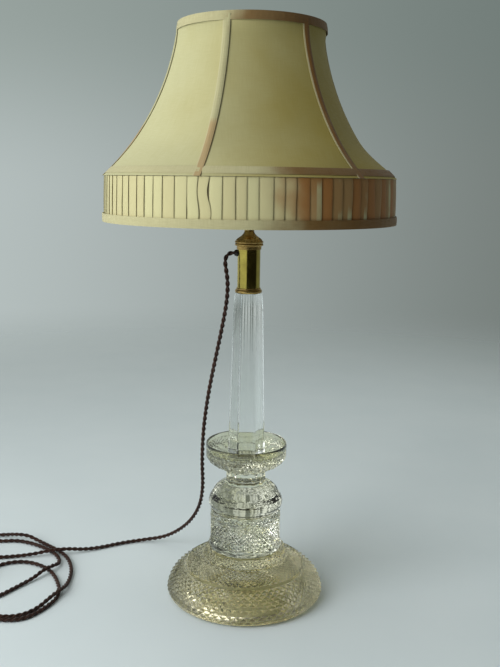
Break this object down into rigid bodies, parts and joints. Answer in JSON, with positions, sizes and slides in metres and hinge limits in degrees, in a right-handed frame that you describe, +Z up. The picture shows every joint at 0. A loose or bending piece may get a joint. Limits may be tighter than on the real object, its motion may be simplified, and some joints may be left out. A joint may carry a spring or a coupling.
{
  "type": "table lamp",
  "caption": "Electric table lamp: stacked cut-glass foot, drum, drip dish and faceted column, brass candle tube, and a silk bell shade with a pleated band on a gimbal.",
  "frame": {"origin": "on the table under the centre of the glass foot", "axes": "+Z up along the column; the cord hole and the flex are on the -X side; -Y is the side seen in front"},
  "size_m": [0.738, 0.4, 0.8038],
  "materials": {
    "cut_glass": "cut and polished",
    "baize": "felted wool",
    "clear_cement": "clear, set",
    "brass": "polished, lightly aged",
    "dark_bush": "moulded dark brown plastic",
    "ceramic": "glazed insulating ceramic",
    "steel_wire": "drawn wire",
    "lead_rubber": "insulated lead",
    "bulb_glass": "pearl glass",
    "frame_wire": "off-white coated wire",
    "silk": "plain silk, pale ivory green",
    "lining": "cream lining",
    "pleated_silk": "knife-pleated silk",
    "braid": "woven tape",
    "flex": "brown braided silk over two twisted cores",
    "plug_plastic": "dark brown moulding"
  },
  "bodies": {
    "lamp": {"baize_pad": "baize", "glass_foot": "cut_glass", "glass_drum": "cut_glass", "glass_shoulder": "cut_glass", "drip_dish": "cut_glass", "glass_column": "cut_glass", "cement_layers": "clear_cement", "ferrule_ring": "brass", "candle_tube": "brass", "brass_cap": "brass", "threaded_nipple": "brass", "lock_nut": "brass", "cord_bush": "dark_bush", "holder_cap": "brass", "holder_shell": "brass", "holder_core": "ceramic", "bayonet_sleeve": "brass", "plunger_spring_left": "steel_wire", "plunger_spring_right": "steel_wire", "holder_leads": "lead_rubber", "lower_shade_ring": "brass", "carrier_ring": "brass", "carrier_arms": "brass", "carrier_boss": "brass", "flex_cord": "flex", "flex_coil": "flex", "plug_cover": "plug_plastic", "plug_base": "plug_plastic", "plug_pins": "brass", "plug_screw": "brass"},
    "bulb": {"bulb_cap": "brass", "bulb_base": "dark_bush", "bulb_glass": "bulb_glass", "bulb_stem": "bulb_glass", "bulb_filament": "steel_wire"},
    "switch_bar": {"push_bar": "dark_bush"},
    "left_plunger": {"plunger_left": "brass"},
    "right_plunger": {"plunger_right": "brass"},
    "shade_ring": {"upper_shade_ring": "brass"},
    "finial": {"finial_knob": "brass"},
    "gimbal": {"gimbal_ring": "brass"},
    "shade": {"spider_ring": "brass", "spider_arms": "frame_wire", "frame_top_ring": "frame_wire", "frame_band_ring": "frame_wire", "frame_bottom_ring": "frame_wire", "frame_ribs": "frame_wire", "frame_struts": "frame_wire", "silk_panel_1": "silk", "silk_panel_2": "silk", "silk_panel_3": "silk", "silk_panel_4": "silk", "silk_panel_5": "silk", "silk_panel_6": "silk", "shade_lining": "lining", "pleated_band": "pleated_silk", "top_trim": "braid", "band_trim": "braid", "bottom_trim": "braid", "rib_tapes": "braid"}
  },
  "joints": [
    {"name": "bulb_twist", "type": "hinge", "parent": "lamp", "child": "bulb", "pos_m": [0, 0, 0.596], "axis": [0, 0, 1], "range_deg": [0, 20]},
    {"name": "switch_push", "type": "slide", "parent": "lamp", "child": "switch_bar", "axis": [1, 0, 0], "range_m": [0, 0.005]},
    {"name": "plunger_left_press", "type": "slide", "parent": "lamp", "child": "left_plunger", "axis": [0, 0, -1], "range_m": [0, 0.003], "stiffness_N_per_m": 1200, "deforming": ["plunger_spring_left"]},
    {"name": "plunger_right_press", "type": "slide", "parent": "lamp", "child": "right_plunger", "axis": [0, 0, -1], "range_m": [0, 0.003], "stiffness_N_per_m": 1200, "deforming": ["plunger_spring_right"]},
    {"name": "shade_ring_turn", "type": "hinge", "parent": "lamp", "child": "shade_ring", "pos_m": [0, 0, 0.596], "axis": [0, 0, 1], "continuous": true},
    {"name": "finial_turn", "type": "hinge", "parent": "lamp", "child": "finial", "pos_m": [0, 0, 0.76], "axis": [0, 0, 1], "continuous": true},
    {"name": "shade_swivel", "type": "hinge", "parent": "lamp", "child": "gimbal", "pos_m": [0, 0, 0.7537], "axis": [0, 0, 1], "continuous": true},
    {"name": "shade_tilt", "type": "hinge", "parent": "gimbal", "child": "shade", "pos_m": [0, 0, 0.7537], "axis": [1, 0, 0], "range_deg": [-10, 10]}
  ]
}
